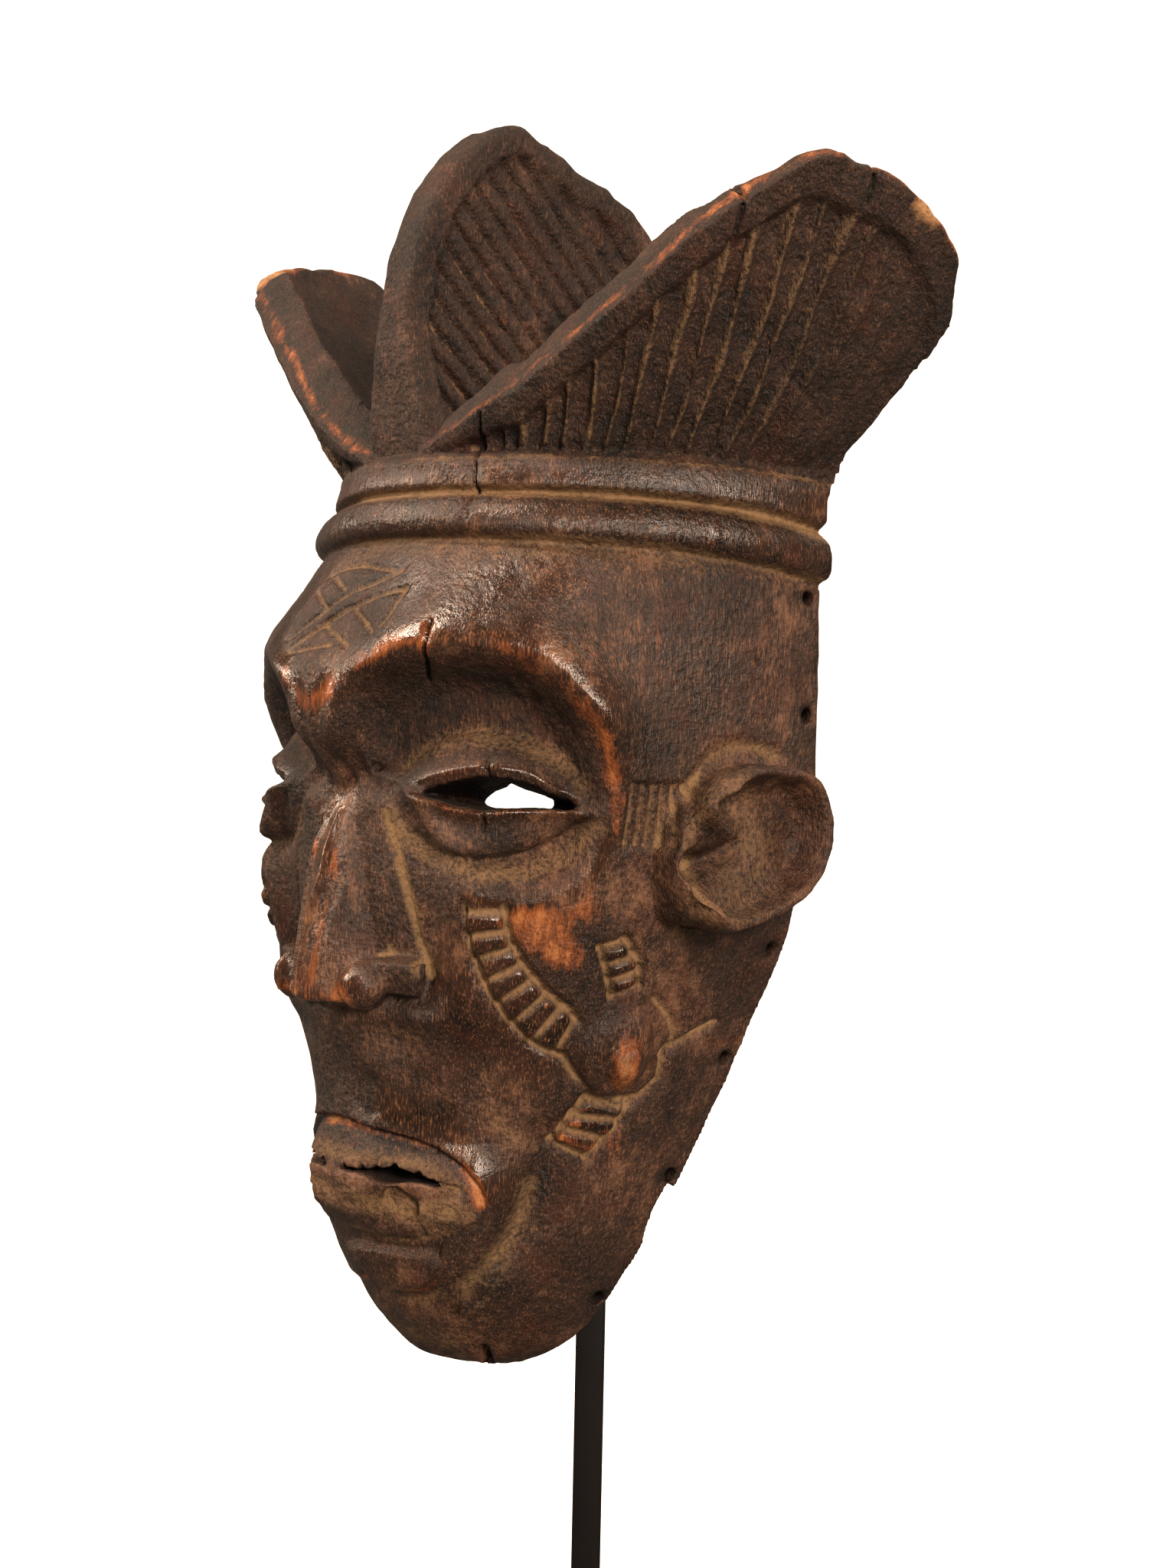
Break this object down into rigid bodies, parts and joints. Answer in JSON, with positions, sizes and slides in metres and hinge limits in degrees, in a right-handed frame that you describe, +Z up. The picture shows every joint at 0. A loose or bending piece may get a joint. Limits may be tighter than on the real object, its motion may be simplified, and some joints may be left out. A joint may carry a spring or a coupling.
{
  "type": "chokwe mask",
  "caption": "Carved dark wooden face mask with a three-lobed crest, hollow at the back, held up on a square black steel bar with a round foot.",
  "frame": {"origin": "centre of the round foot's underside", "axes": "+Z up along the square bar, -Y the way the face looks, +X the mask's own left"},
  "size_m": [0.2503, 0.1804, 0.4443],
  "materials": {
    "patinated_wood": "dark polished patina, worn to orange-brown on the edges, dusty in the recesses",
    "black_steel": "satin black paint"
  },
  "bodies": {
    "root": {"mask": "patinated_wood", "holder_plate": "black_steel", "post": "black_steel", "foot_plate": "black_steel"}
  },
  "joints": []
}
